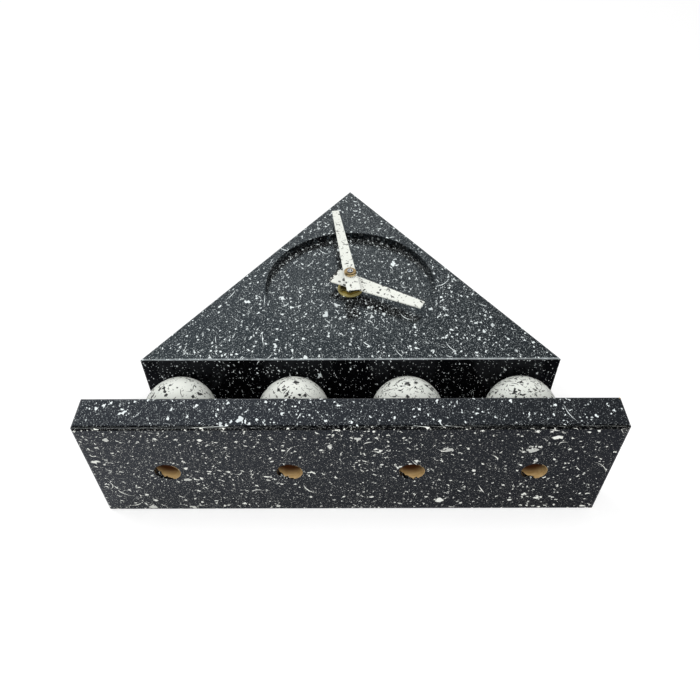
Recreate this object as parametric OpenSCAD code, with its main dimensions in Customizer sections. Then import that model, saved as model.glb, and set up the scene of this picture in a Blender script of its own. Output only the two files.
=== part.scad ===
// Temple-shaped desk clock: a triangular pediment on four balls and a base board,
// with a quartz movement in a pocket behind the dial.
// Front faces -Y, +Z is up, the origin is the middle of the underside. Millimetres.

/* [Base board] */
// How far the board stands out past the pediment at each end
board_overhang = 17.5; // [5:0.5:40]
// How far the board stands out in front of and behind the pediment
board_ledge = 14.5; // [4:0.5:30]
// Thickness of the board
board_h = 19; // [15:0.5:30]
// Rounding along the edges of the board
board_edge_r = 1.8; // [0.5:0.1:4]
// Diameter of the screw holes in the underside
hole_d = 13; // [10.5:0.5:18]
// Wood left between a screw hole and the ball above it
hole_roof_t = 6; // [3:0.5:8]

/* [Balls] */
// Diameter of a ball
ball_d = 40; // [30:0.5:55]
// Distance from a lower corner of the pediment to the centre of the outer ball
ball_inset = 21.7; // [18:0.1:26]
// Depth of the flats on which a ball seats
ball_flat = 0.4; // [0.2:0.1:1.5]

/* [Assembly screws] */
// Shank diameter of the screws that pass through the balls
screw_d = 5; // [3:0.5:6]
// Diameter of a screw head
screw_head_d = 9; // [7:0.5:10]
// Height of a screw head
screw_head_h = 3; // [2:0.1:4]
// Depth that a screw reaches into the pediment
screw_bite = 20; // [10:1:22]
// Radial room round the screws in their bores
screw_play = 0.1; // [0.05:0.05:0.4]

/* [Pediment] */
// Width of the pediment along its underside
ped_w = 230; // [200:1:280]
// Height of the pediment
ped_h = 167; // [150:1:220]
// Thickness of the pediment, front to back
ped_t = 44; // [36:1:70]
// Rounding along the edges of the pediment
ped_edge_r = 0.8; // [0.3:0.1:3]
// Height of the dial centre above the underside of the pediment
dial_up = 64.5; // [58:0.5:72]
// Least wood between the rim of the sunk dial and the slopes
dial_margin = 6.1; // [3:0.1:20]
// Depth of the sunk dial
dial_depth = 4.8; // [2:0.1:10]
// Wood left between the dial and the movement pocket
web_t = 6; // [3:0.5:8]
// Room round the movement in its pocket
pocket_room = 1.5; // [0.5:0.25:4]

/* [Hands] */
// Length of the minute hand from the pivot to the tip
minute_len = 68.3; // [50:0.1:80]
// Length of the minute hand's tail
minute_tail = 15.3; // [8:0.1:24]
// Width of the minute hand at its tip
minute_tip_w = 4.6; // [2:0.1:7]
// Width of the minute hand at its tail end
minute_tail_w = 8.4; // [6:0.1:12]
// Length of the hour hand from the pivot to the tip
hour_len = 48.2; // [35:0.1:60]
// Length of the hour hand's tail
hour_tail = 11.8; // [8:0.1:20]
// Width of the hour hand at its tip
hour_tip_w = 6.2; // [3:0.1:9]
// Width of the hour hand at its tail end
hour_tail_w = 13; // [9:0.1:18]
// Sheet thickness of the hands
hand_t = 0.7; // [0.4:0.1:1.2]
// Angle of the minute hand, clockwise from twelve
minute_angle = -8.5; // [-180:0.5:180]
// Angle of the hour hand, clockwise from twelve
hour_angle = 118; // [-180:0.5:180]

/* [Shaft hardware] */
// Diameter of the brass washer on the dial
washer_d = 15.6; // [13:0.1:22]
// Thickness of the brass washer
washer_t = 0.8; // [0.4:0.1:2]
// Width across the flats of the hex nut
nut_af = 12; // [10.5:0.5:15]
// Thickness of the hex nut
nut_t = 3; // [1.5:0.1:4]
// Outside diameter of the threaded bush
bush_d = 8; // [7:0.1:9]
// Length of bush that shows past the nut
bush_show = 1; // [0.5:0.1:4]
// Gap from the bush to the hour hand
hour_gap = 1.4; // [0.5:0.1:4]
// Gap from the hour hand to the minute hand
minute_gap = 4.3; // [2:0.1:7]
// Diameter of the hour tube
hour_tube_d = 5.1; // [4.8:0.1:5.6]
// Diameter of the minute arbor
minute_arbor_d = 3.8; // [3.6:0.1:3.9]
// Diameter of the arbor's threaded end in the hand nut
thread_d = 3.4; // [3:0.1:3.5]
// Diameter of the open mouth in the arbor's threaded end
mouth_d = 2.2; // [1.6:0.1:2.4]
// Length of the arbor that shows past the hand nut
arbor_show = 0.5; // [0.2:0.1:1.5]
// Diameter of the hand nut
hand_nut_d = 7.4; // [5:0.1:9]
// Thickness of the hand nut
hand_nut_t = 2.4; // [1.2:0.1:4]
// Size of the eased edges on the hand nut and the bush
metal_ease = 0.4; // [0.2:0.1:0.8]
// Diameter of the wheel arbors and of the seconds arbor
arbor_d = 1; // [0.6:0.1:1.2]
// Radial running clearance on the arbors
run_play = 0.05; // [0.03:0.01:0.08]

/* [Movement] */
// Wall thickness of the movement case
case_wall = 1.2; // [1:0.1:2]
// Corner radius of the movement case
case_r = 3; // [1:0.5:6]
// Thickness of the rubber gasket behind the dial
gasket_t = 1; // [0.5:0.1:2]
// Outside diameter of the rubber gasket
gasket_d = 18; // [14:0.5:26]
// Diameter of the battery
cell_d = 14.5; // [10:0.1:16]
// Length of the battery
cell_len = 50.5; // [48:0.5:56]
// Diameter of the setting knob
knob_d = 11; // [8:0.5:14]
// Thickness of the setting knob
knob_t = 4; // [2:0.5:7]

/* [Wheel train] */
// Thickness of the toothed wheels
wheel_t = 0.8; // [0.5:0.1:1.2]
// Gap between wheels on neighbouring levels
level_gap = 0.7; // [0.4:0.1:1.2]
// Tooth module of the minute pinion and the motion wheel
motion_module = 0.42; // [0.38:0.01:0.47]
// Tooth module of the centre wheel
centre_module = 0.3; // [0.27:0.01:0.34]
// Tooth module of the seconds wheel
second_module = 0.38; // [0.35:0.01:0.44]
// Tooth module of the rotor pinion
rotor_module = 0.3; // [0.27:0.01:0.33]
// Diameter of the rotor magnet
magnet_d = 5; // [4:0.1:5.4]
// Thickness of the rotor magnet
magnet_t = 1.6; // [1:0.1:3]

/* [Hidden] */
$fn = 64;

// Overlap of a cut past the face that it opens
cut = 1;

// Board, balls and pediment
board_w = ped_w + 2 * board_overhang;
board_d = ped_t + 2 * board_ledge;
ball_pitch = (ped_w - 2 * ball_inset) / 3;
ball_xs = [for (i = [0:3]) (i - 1.5) * ball_pitch];
ball_h = ball_d - 2 * ball_flat;
ped_z = board_h + ball_h;
screw_bore_d = screw_d + 2 * screw_play;
screw_seat_z = board_h - hole_roof_t;
slope_len = sqrt(pow(ped_w / 2, 2) + pow(ped_h, 2));
inradius = ped_w * ped_h / (ped_w + 2 * slope_len);
dial_z = ped_z + dial_up;
dial_to_slope = (ped_h - dial_up) * ped_w / (2 * slope_len);
dial_r = dial_to_slope - dial_margin;

// Depth stations along the shaft, from the dial forwards
dial_y = dial_depth - ped_t / 2;
nut_y = dial_y - washer_t - nut_t;
bush_end_y = nut_y - bush_show;
hour_back_y = bush_end_y - hour_gap;
hour_front_y = hour_back_y - hand_t;
minute_back_y = hour_front_y - minute_gap;
minute_front_y = minute_back_y - hand_t;
hand_nut_front_y = minute_front_y - hand_nut_t;
arbor_end_y = hand_nut_front_y - arbor_show;
// How far the tube and the arbors stand past what they carry
end_show = 0.2;

// Depth stations inside the movement, from the dial backwards
web_y = dial_y + web_t;
case_y = web_y + gasket_t;
case_in_y = case_y + case_wall;
level_step = wheel_t + level_gap;
front_gap = 0.4;
hour_level_y = case_in_y + front_gap;
motion_level_y = hour_level_y + level_step;
centre_level_y = motion_level_y + level_step;
third_level_y = centre_level_y + level_step;
bridge_t = 1;
bridge_y = third_level_y + level_step;
bridge_back_y = bridge_y + bridge_t;
second_level_y = bridge_back_y + level_gap;
rotor_level_y = second_level_y + level_step;
magnet_room = 0.6;
magnet_y = rotor_level_y + wheel_t + magnet_room;
cover_room = 1;
cell_room = 0.25;
cell_back_y = case_in_y + cell_room + cell_d;
cover_y = max(magnet_y + magnet_t + cover_room, cell_back_y - case_wall);
cover_out_y = cover_y + case_wall;
case_t = cover_out_y - case_y;
// Depth of the blind bearing holes in the case and the cover, and room at an arbor's end
bearing_depth = 0.5;
end_play = 0.2;
bearing_boss_d = 3.2;
knob_stem_d = 2.4;

// Tooth counts
minute_teeth = 12;
motion_teeth = 36;
motion_pinion_teeth = 10;
hour_teeth = 40;
knob_teeth = 12;
centre_teeth = 64;
third_pinion_teeth = 8;
third_teeth = 60;
second_pinion_teeth = 8;
second_teeth = 30;
intermediate_pinion_teeth = 6;
intermediate_teeth = 36;
rotor_teeth = 6;

// Tooth form, in modules and in quarter pitches
addendum_ratio = 0.85;
dedendum_ratio = 1.15;
root_share = 1.3;
tip_share = 0.4;

// Centre distances, and the modules that follow from sharing them
motion_reach = motion_module * (minute_teeth + motion_teeth) / 2;
hour_module = 2 * motion_reach / (motion_pinion_teeth + hour_teeth);
knob_reach = motion_module * (motion_teeth + knob_teeth) / 2;
third_reach = centre_module * (centre_teeth + third_pinion_teeth) / 2;
third_module = 2 * third_reach / (third_teeth + second_pinion_teeth);
intermediate_reach = second_module * (second_teeth + intermediate_pinion_teeth) / 2;
rotor_reach = rotor_module * (intermediate_teeth + rotor_teeth) / 2;

// Directions from one arbor to the next, seen from the front
motion_dir = 150;
knob_dir = 140;
third_dir = 60;
intermediate_dir = -20;
rotor_dir = 40;

function polar(r, a) = [r * cos(a), r * sin(a)];
centre_at = [0, 0];
motion_at = polar(motion_reach, motion_dir);
knob_at = motion_at + polar(knob_reach, knob_dir);
third_at = polar(third_reach, third_dir);
intermediate_at = polar(intermediate_reach, intermediate_dir);
rotor_at = intermediate_at + polar(rotor_reach, rotor_dir);

// Turn of a gear whose gap meets a tooth of the gear before it
function mesh_turn(teeth_a, turn_a, dir, teeth_b) =
  dir + 180 + 180 / teeth_b + (dir - turn_a) * teeth_a / teeth_b;
motion_turn = mesh_turn(minute_teeth, 0, motion_dir, motion_teeth);
knob_turn = mesh_turn(motion_teeth, motion_turn, knob_dir, knob_teeth);
hour_turn = mesh_turn(motion_pinion_teeth, 0, motion_dir + 180, hour_teeth);
third_pinion_turn = mesh_turn(centre_teeth, 0, third_dir, third_pinion_teeth);
third_turn = mesh_turn(second_pinion_teeth, 0, third_dir, third_teeth);
intermediate_pinion_turn = mesh_turn(second_teeth, 0, intermediate_dir, intermediate_pinion_teeth);
rotor_turn = mesh_turn(intermediate_teeth, 0, rotor_dir, rotor_teeth);

// Battery bay along the bottom of the case, below the largest wheel
strip_t = 0.3;
strip_w = 4;
strip_room = 0.2;
leaf_reach = 2.8;
case_in = (cell_len + strip_t + leaf_reach) / 2;
case_w = 2 * (case_in + case_wall);
bay_wall_t = 1;
train_room = 0.95;
shelf_z = -centre_module * (centre_teeth / 2 + addendum_ratio) - train_room;
bay_top_z = shelf_z - bay_wall_t;
bay_floor_z = bay_top_z - cell_d - 2 * cell_room;
case_h = case_in - bay_floor_z + 2 * case_wall;
case_mid_z = (case_in + bay_floor_z) / 2;
cell_z = bay_floor_z + cell_room + cell_d / 2;
cell_y = case_in_y + cell_room + cell_d / 2;
cell_x = strip_t - case_in;
nub_d = 5.5;
nub_len = 1;
strip_setback = 1;
positive_strip_y = case_in_y + strip_setback;
negative_strip_y = bridge_back_y + strip_setback;

// Electronics behind the gear bridge
board_stand = 2.4;
pcb_y = bridge_back_y + board_stand;
pcb_t = 1;
pcb_w = 20.5;
pcb_h = 9.5;
pcb_inset = 1.8;
pcb_at = [pcb_w / 2 + strip_t - case_in, case_in - pcb_inset - pcb_h / 2];
pcb_post_x = 6.5;
core_t = 1;
core_h = 3.5;
stator_t = 1;
stator_y = magnet_y + (magnet_t - stator_t) / 2;
core_y = stator_y - core_t;
coil_inset = 5.8;
coil_z = case_in - coil_inset;
arm_w = 4;
arm_inset = 2.3;
coil_spread = 2 * (case_in - rotor_at[0] - arm_w / 2 - arm_inset);
magnet_gap = 0.6;
stator_room = 0.3;
bobbin_len = 11.3;
bobbin_wall = 0.6;
flange_t = 1;
flange_h = 8;
flange_d = 5;
post_d = 3;
pillar_d = 3.5;
pin_d = 1.8;
pillar_inset = 3.8;
pillars = [for (x = [-1, 1], z = [shelf_z + pillar_inset, case_in - pillar_inset])
  [x * (case_in - pillar_inset), z]];
pcb_posts = [for (s = [-1, 1]) pcb_at + [s * pcb_post_x, 0]];
arm_ends = [for (s = [-1, 1]) [rotor_at[0] + s * coil_spread / 2, coil_z]];
// Where along its arm, from the rotor outwards, the stator is held up
arm_hold = 0.6;
stator_posts = [for (e = arm_ends) rotor_at + arm_hold * (e - rotor_at)];
stud_wall = 0.3;
stud_d = arbor_d + 2 * stud_wall;
hub_wall = 0.5;

// Extrudes a front-view outline (x right, z up) from depth y backwards by t
module plate(y, t) {
  translate([0, y + t, 0]) rotate([90, 0, 0]) linear_extrude(t) children();
}

// A round bar along the depth axis, from depth y0 to y1, at a front-view point
module rod(d, y0, y1, at = [0, 0]) {
  plate(y0, y1 - y0) translate(at) circle(d = d);
}

// A round taper along the depth axis, of diameter d0 at depth y0 and d1 at y1
module taper(d0, d1, y0, y1) {
  translate([0, y0, 0]) rotate([-90, 0, 0]) cylinder(d1 = d0, d2 = d1, h = y1 - y0);
}

// A round bar along the depth axis whose front edge is eased
module eased_rod(d, y0, y1) {
  taper(d - 2 * metal_ease, d, y0, y0 + metal_ease);
  rod(d, y0 + metal_ease, y1);
}

module rounded_rect(w, h, r) {
  square([w - 2 * r, h], center = true);
  square([w, h - 2 * r], center = true);
  for (x = [-1, 1], y = [-1, 1]) translate([x * (w / 2 - r), y * (h / 2 - r)]) circle(r);
}

module at_movement() {
  translate([0, 0, dial_z]) children();
}

module at_balls() {
  for (x = ball_xs) translate([x, 0, 0]) children();
}

module gear_outline(teeth, mod, turn) {
  pitch_r = teeth * mod / 2;
  tip_r = pitch_r + addendum_ratio * mod;
  root_r = pitch_r - dedendum_ratio * mod;
  tooth = [[root_r, -root_share], [tip_r, -tip_share], [tip_r, tip_share], [root_r, root_share]];
  polygon([for (i = [0:teeth - 1], p = tooth) polar(p[0], turn + (360 * i + 90 * p[1]) / teeth)]);
}

module gear(teeth, mod, turn, y, at) {
  plate(y, wheel_t) translate(at) gear_outline(teeth, mod, turn);
}

// Corners of the pediment's outline, above its underside, with every side moved in by an inset
function pediment_corners(inset) = let (
  middle = [0, inradius],
  corners = [[-ped_w / 2, 0], [ped_w / 2, 0], [0, ped_h]]
) [for (c = corners) middle + (c - middle) * (1 - inset / inradius)];

// The solid triangle, its edges eased in narrow flats that follow a quarter round
module pediment_blank() {
  hull() for (turn = [0:30:90]) {
    depth = ped_t - 2 * ped_edge_r * (1 - sin(turn));
    translate([0, 0, ped_z]) plate(-depth / 2, depth)
      polygon(pediment_corners(ped_edge_r * (1 - cos(turn))));
  }
}

module base_board() {
  color("dimgray") difference() {
    translate([0, 0, board_h / 2]) intersection() {
      linear_extrude(board_h, center = true) rounded_rect(board_w, board_d, board_edge_r);
      rotate([90, 0, 0]) linear_extrude(board_d, center = true)
        rounded_rect(board_w, board_h, board_edge_r);
      rotate([0, 90, 0]) linear_extrude(board_w, center = true)
        rounded_rect(board_h, board_d, board_edge_r);
    }
    at_balls() {
      translate([0, 0, -cut]) cylinder(d = hole_d, h = screw_seat_z + cut);
      cylinder(d = screw_bore_d, h = board_h + cut);
    }
  }
}

module ball(index) {
  color("ivory") translate([ball_xs[index], 0, board_h + ball_h / 2]) difference() {
    intersection() {
      sphere(d = ball_d);
      cube([ball_d, ball_d, ball_h], center = true);
    }
    cylinder(d = screw_bore_d, h = ball_d, center = true);
  }
}

module assembly_screws() {
  tip_h = screw_d;
  top_z = ped_z + screw_bite;
  slot_w = 1.4;
  slot_depth = screw_head_h / 2;
  color("silver") at_balls() difference() {
    union() {
      translate([0, 0, screw_seat_z - screw_head_h]) cylinder(d = screw_head_d, h = screw_head_h);
      translate([0, 0, screw_seat_z]) cylinder(d = screw_d, h = top_z - tip_h - screw_seat_z);
      translate([0, 0, top_z - tip_h]) cylinder(d1 = screw_d, d2 = 1, h = tip_h);
    }
    for (turn = [0, 90]) rotate(turn)
      translate([0, 0, screw_seat_z - screw_head_h])
        cube([screw_head_d / 2, slot_w, 2 * slot_depth], center = true);
  }
}

module pediment() {
  pocket = [case_w, case_h] + 2 * [pocket_room, pocket_room];
  pocket_r = case_r + pocket_room;
  shaft_room = 0.2;
  color("dimgray") difference() {
    pediment_blank();
    at_movement() {
      rod(2 * dial_r, -ped_t / 2 - cut, dial_y);
      rod(bush_d + 2 * shaft_room, -ped_t / 2, ped_t / 2);
      plate(web_y, ped_t) translate([0, case_mid_z]) rounded_rect(pocket[0], pocket[1], pocket_r);
    }
    at_balls() translate([0, 0, ped_z - cut])
      cylinder(d = screw_bore_d, h = screw_bite + end_play + cut);
  }
}

module bay_cut() {
  translate([-case_in, bay_floor_z]) square([2 * case_in, bay_top_z - bay_floor_z]);
}

module train_cut() {
  translate([-case_in, shelf_z]) square([2 * case_in, case_in - shelf_z]);
}

module case_outline() {
  translate([0, case_mid_z]) rounded_rect(case_w, case_h, case_r);
}

// The part of the case outline that the cover closes
module cover_outline() {
  intersection() {
    case_outline();
    translate([-case_w, bay_top_z]) square(2 * case_w);
  }
}

module movement_case() {
  slot_h = bay_wall_t + 2 * cut;
  slot_w = strip_w + 2 * strip_room;
  slot_t = strip_t + strip_room;
  color("gray") at_movement() difference() {
    union() {
      difference() {
        plate(case_y, case_t) case_outline();
        plate(case_in_y, case_t) bay_cut();
        plate(case_in_y, case_t) train_cut();
        plate(cover_y, case_t) cover_outline();
      }
      rod(stud_d, case_in_y, motion_level_y + wheel_t + end_play, motion_at);
      for (p = pillars) {
        rod(pillar_d, case_in_y, bridge_y, p);
        rod(pin_d, bridge_y, bridge_back_y, p);
      }
    }
    rod(bush_d, case_y - cut, case_in_y + cut);
    for (p = [third_at, knob_at]) {
      rod(arbor_d + 2 * run_play, case_in_y - bearing_depth, case_in_y + cut, p);
    }
    plate(positive_strip_y - strip_room, slot_w)
      translate([-case_in, bay_top_z - cut]) square([slot_t, slot_h]);
    plate(negative_strip_y - strip_room, slot_w)
      translate([case_in - slot_t, bay_top_z - cut]) square([slot_t, slot_h]);
  }
}

module movement_cover() {
  clip_w = 5;
  clip_t = 0.9;
  clip_h = 3;
  clip_x = 15;
  color("gray") at_movement() difference() {
    union() {
      plate(cover_y, case_wall) cover_outline();
      for (p = [centre_at, intermediate_at]) rod(bearing_boss_d, magnet_y, cover_y, p);
      plate(cover_y - clip_h, clip_h) {
        for (x = [-clip_x, clip_x]) translate([x - clip_w / 2, case_in - clip_t]) square([clip_w, clip_t]);
        translate([case_in - clip_t, 0]) square([clip_t, clip_w]);
      }
    }
    for (p = [centre_at, intermediate_at, rotor_at]) {
      rod(arbor_d + 2 * run_play, magnet_y - cut, cover_y + bearing_depth, p);
    }
    rod(knob_stem_d + 2 * run_play, cover_y - cut, cover_out_y + cut, knob_at);
  }
}

module threaded_bush() {
  color("silver") at_movement() difference() {
    eased_rod(bush_d, bush_end_y, case_in_y);
    rod(hour_tube_d + 2 * run_play, bush_end_y - cut, case_in_y + cut);
  }
}

module rubber_gasket() {
  color("black") at_movement() difference() {
    rod(gasket_d, web_y, case_y);
    rod(bush_d, web_y - cut, case_y + cut);
  }
}

module dial_washer() {
  color("gold") at_movement() difference() {
    rod(washer_d, dial_y - washer_t, dial_y);
    rod(bush_d, dial_y - ped_t, dial_y + cut);
  }
}

module dial_nut() {
  face_d = 0.95 * nut_af;
  bevel = 30;
  color("gold") at_movement() difference() {
    intersection() {
      plate(nut_y, nut_t) rotate(90) circle(d = nut_af / cos(30), $fn = 6);
      taper(face_d, face_d + 2 * nut_t / tan(bevel), nut_y, nut_y + nut_t);
    }
    rod(bush_d, nut_y - cut, nut_y + nut_t + cut);
  }
}

module hour_wheel() {
  color("whitesmoke") at_movement() difference() {
    union() {
      gear(hour_teeth, hour_module, hour_turn, hour_level_y, centre_at);
      rod(hour_tube_d, hour_front_y - end_show, hour_level_y);
    }
    rod(minute_arbor_d + 2 * run_play, hour_front_y - ped_t, hour_level_y + wheel_t + cut);
  }
}

// A straight tapered hand that points clockwise from twelve by the angle
module hand_outline(len, tail, tip_w, tail_w, angle) {
  rotate(-angle) polygon([[-tail_w / 2, -tail], [tail_w / 2, -tail], [tip_w / 2, len], [-tip_w / 2, len]]);
}

module hour_hand() {
  color("ivory") at_movement() difference() {
    plate(hour_front_y, hand_t) hand_outline(hour_len, hour_tail, hour_tip_w, hour_tail_w, hour_angle);
    rod(hour_tube_d, hour_front_y - cut, hour_back_y + cut);
  }
}

module minute_arbor() {
  color("silver") at_movement() difference() {
    union() {
      rod(minute_arbor_d, minute_back_y, centre_level_y + wheel_t + end_play);
      rod(thread_d, arbor_end_y, minute_back_y);
      gear(minute_teeth, motion_module, 0, motion_level_y, centre_at);
    }
    rod(mouth_d, arbor_end_y - cut, minute_back_y);
    rod(arbor_d + 2 * run_play, arbor_end_y - cut, third_level_y);
  }
}

module minute_hand() {
  color("ivory") at_movement() difference() {
    plate(minute_front_y, hand_t)
      hand_outline(minute_len, minute_tail, minute_tip_w, minute_tail_w, minute_angle);
    rod(thread_d, minute_front_y - cut, minute_back_y + cut);
  }
}

module hand_nut() {
  color("gold") at_movement() difference() {
    eased_rod(hand_nut_d, hand_nut_front_y, minute_front_y);
    rod(thread_d, hand_nut_front_y - cut, minute_front_y + cut);
  }
}

module motion_wheel() {
  hub_d = stud_d + 2 * hub_wall;
  color("whitesmoke") at_movement() difference() {
    union() {
      gear(motion_teeth, motion_module, motion_turn, motion_level_y, motion_at);
      gear(motion_pinion_teeth, hour_module, 0, hour_level_y, motion_at);
      rod(hub_d, hour_level_y, motion_level_y, motion_at);
    }
    rod(stud_d + 2 * run_play, hour_level_y - cut, motion_level_y + wheel_t + cut, motion_at);
  }
}

module centre_wheel() {
  color("whitesmoke") at_movement() difference() {
    gear(centre_teeth, centre_module, 0, centre_level_y, centre_at);
    rod(minute_arbor_d + 2 * run_play, centre_level_y - cut, centre_level_y + wheel_t + cut);
  }
}

module third_wheel() {
  color("whitesmoke") at_movement() {
    rod(arbor_d, case_in_y - bearing_depth + end_play, bridge_back_y, third_at);
    gear(third_pinion_teeth, centre_module, third_pinion_turn, centre_level_y, third_at);
    gear(third_teeth, third_module, third_turn, third_level_y, third_at);
  }
}

module second_wheel() {
  color("whitesmoke") at_movement() {
    rod(arbor_d, arbor_end_y - end_show, cover_y + bearing_depth - end_play);
    gear(second_pinion_teeth, third_module, 0, third_level_y, centre_at);
    gear(second_teeth, second_module, 0, second_level_y, centre_at);
  }
}

module intermediate_wheel() {
  color("whitesmoke") at_movement() {
    rod(arbor_d, bridge_y, cover_y + bearing_depth - end_play, intermediate_at);
    gear(intermediate_pinion_teeth, second_module, intermediate_pinion_turn, second_level_y,
      intermediate_at);
    gear(intermediate_teeth, rotor_module, 0, rotor_level_y, intermediate_at);
  }
}

module rotor() {
  color("dimgray") at_movement() {
    rod(arbor_d, bridge_y, cover_y + bearing_depth - end_play, rotor_at);
    gear(rotor_teeth, rotor_module, rotor_turn, rotor_level_y, rotor_at);
    rod(magnet_d, magnet_y, magnet_y + magnet_t, rotor_at);
  }
}

module setting_knob() {
  grips = 18;
  grip_d = 1.2;
  gap = 0.6;
  color("black") at_movement() {
    rod(arbor_d, case_in_y - bearing_depth + end_play, motion_level_y, knob_at);
    gear(knob_teeth, motion_module, knob_turn, motion_level_y, knob_at);
    rod(knob_stem_d, motion_level_y + wheel_t, cover_out_y + gap, knob_at);
    plate(cover_out_y + gap, knob_t) translate(knob_at) difference() {
      circle(d = knob_d);
      for (i = [0:grips - 1]) translate(polar(knob_d / 2, 360 * i / grips)) circle(d = grip_d);
    }
  }
}

module gear_bridge() {
  rim = 1;
  low = shelf_z + rim;
  high = case_in - rim;
  stem_room = 1;
  color("lightgray") at_movement() difference() {
    union() {
      plate(bridge_y, bridge_t) translate([0, (low + high) / 2])
        rounded_rect(2 * high, high - low, case_r);
      for (p = pcb_posts) rod(post_d, bridge_back_y, pcb_y, p);
      for (p = stator_posts) rod(post_d, bridge_back_y, stator_y, p);
    }
    for (p = [centre_at, third_at, intermediate_at, rotor_at]) {
      rod(arbor_d + 2 * run_play, bridge_y - cut, bridge_back_y + cut, p);
    }
    rod(knob_stem_d + 2 * stem_room, bridge_y - cut, bridge_back_y + cut, knob_at);
    for (p = pillars) rod(pin_d, bridge_y - cut, bridge_back_y + cut, p);
  }
}

// A flat bar with round ends between two front-view points
module link(a, b, w) {
  run = b - a;
  translate(a) circle(d = w);
  translate(b) circle(d = w);
  translate(a) rotate(atan2(run[1], run[0])) translate([0, -w / 2]) square([norm(run), w]);
}

module stator() {
  eye_d = magnet_d + 2 * magnet_gap;
  ring_d = 2 * (rotor_reach - stator_room) - bearing_boss_d;
  color("slategray") at_movement() plate(stator_y, stator_t) difference() {
    union() {
      translate(rotor_at) circle(d = ring_d);
      for (e = arm_ends) link(rotor_at, e, arm_w);
    }
    translate(rotor_at) circle(d = eye_d);
  }
}

// Places a shape whose axis runs along the coil
module at_coil() {
  translate([rotor_at[0], core_y + core_t / 2, coil_z]) rotate([90, 0, 90]) children();
}

module coil_core() {
  color("slategray") at_movement() at_coil()
    linear_extrude(coil_spread + arm_w, center = true) square([core_t, core_h], center = true);
}

module coil_bobbin() {
  sleeve = [core_t, core_h] + 2 * [bobbin_wall, bobbin_wall];
  color("white") at_movement() at_coil() difference() {
    union() {
      linear_extrude(bobbin_len, center = true) square(sleeve, center = true);
      for (s = [-1, 1]) translate([0, 0, s * (bobbin_len - flange_t) / 2])
        linear_extrude(flange_t, center = true) rounded_rect(flange_d, flange_h, 1);
    }
    linear_extrude(2 * bobbin_len, center = true) square([core_t, core_h], center = true);
  }
}

module coil_winding() {
  wound = 0.4;
  color("chocolate") at_movement() at_coil()
    linear_extrude(bobbin_len - 2 * flange_t, center = true) difference() {
      rounded_rect(flange_d - wound, flange_h - wound, 1);
      square([core_t, core_h] + 2 * [bobbin_wall, bobbin_wall], center = true);
    }
}

module circuit_board() {
  color("darkgreen") at_movement() plate(pcb_y, pcb_t) translate(pcb_at)
    square([pcb_w, pcb_h], center = true);
}

module control_chip() {
  chip_d = 5;
  chip_t = 1;
  chip_x = 4;
  color("black") at_movement()
    rod(chip_d, pcb_y + pcb_t, pcb_y + pcb_t + chip_t, pcb_at + [chip_x, 0]);
}

module quartz_crystal() {
  can_d = 1.9;
  can_len = 6;
  can_x = -3;
  color("silver") at_movement()
    translate([pcb_at[0] + can_x, pcb_y + pcb_t + can_d / 2, pcb_at[1]])
      cylinder(d = can_d, h = can_len, center = true);
}

// A contact strip up the left wall, from a height to the circuit board
module riser(y, low) {
  plate(y, strip_w) translate([-case_in, low]) square([strip_t, case_in - pillar_inset - low]);
}

module positive_contact() {
  color("silver") at_movement() {
    riser(positive_strip_y, bay_floor_z + cell_room);
    plate(positive_strip_y, cell_d / 2)
      translate([-case_in, bay_floor_z + cell_room]) square([strip_t, cell_d]);
  }
}

module negative_contact() {
  wall_x = case_in - strip_t;
  leaf_x = case_in - leaf_reach;
  leaf_h = cell_d / 4;
  color("silver") at_movement() {
    riser(negative_strip_y, shelf_z);
    plate(negative_strip_y, strip_w) translate([-case_in, shelf_z]) square([2 * case_in, strip_t]);
    plate(negative_strip_y, strip_w) translate([wall_x, bay_floor_z + cell_room])
      square([strip_t, shelf_z - bay_floor_z - cell_room]);
    plate(negative_strip_y, strip_w) translate([0, cell_z]) polygon([
      [wall_x, leaf_h], [leaf_x, 0], [wall_x, -leaf_h],
      [wall_x, strip_t - leaf_h], [leaf_x + strip_t, 0], [wall_x, leaf_h - strip_t]
    ]);
  }
}

module battery() {
  color("darkslategray") at_movement() translate([cell_x, cell_y, cell_z]) rotate([0, 90, 0]) {
    cylinder(d = nub_d, h = nub_len);
    translate([0, 0, nub_len]) cylinder(d = cell_d, h = cell_len - nub_len);
  }
}

base_board();
for (i = [0:3]) {
  ball(i);
}
assembly_screws();
pediment();
movement_case();
movement_cover();
threaded_bush();
rubber_gasket();
dial_washer();
dial_nut();
hour_wheel();
hour_hand();
minute_arbor();
minute_hand();
hand_nut();
motion_wheel();
setting_knob();
centre_wheel();
third_wheel();
second_wheel();
intermediate_wheel();
rotor();
gear_bridge();
stator();
coil_core();
coil_bobbin();
coil_winding();
circuit_board();
control_chip();
quartz_crystal();
positive_contact();
negative_contact();
battery();
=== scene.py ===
import math

import bpy
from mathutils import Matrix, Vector


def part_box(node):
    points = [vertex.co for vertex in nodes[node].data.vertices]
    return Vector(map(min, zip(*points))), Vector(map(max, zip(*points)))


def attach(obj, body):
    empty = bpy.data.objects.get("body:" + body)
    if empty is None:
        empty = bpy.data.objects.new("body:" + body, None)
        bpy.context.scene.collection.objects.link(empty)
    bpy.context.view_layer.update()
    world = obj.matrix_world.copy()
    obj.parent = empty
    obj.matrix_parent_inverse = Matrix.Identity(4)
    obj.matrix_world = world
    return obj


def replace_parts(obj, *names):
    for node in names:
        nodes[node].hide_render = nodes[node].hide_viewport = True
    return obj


# Dresses the desk clock: splattered lacquer on wood, brass shaft hardware and a plastic quartz movement.
# Metres, front towards -Y, +Z up. The photograph looks up at the front and the underside of the base.

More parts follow.
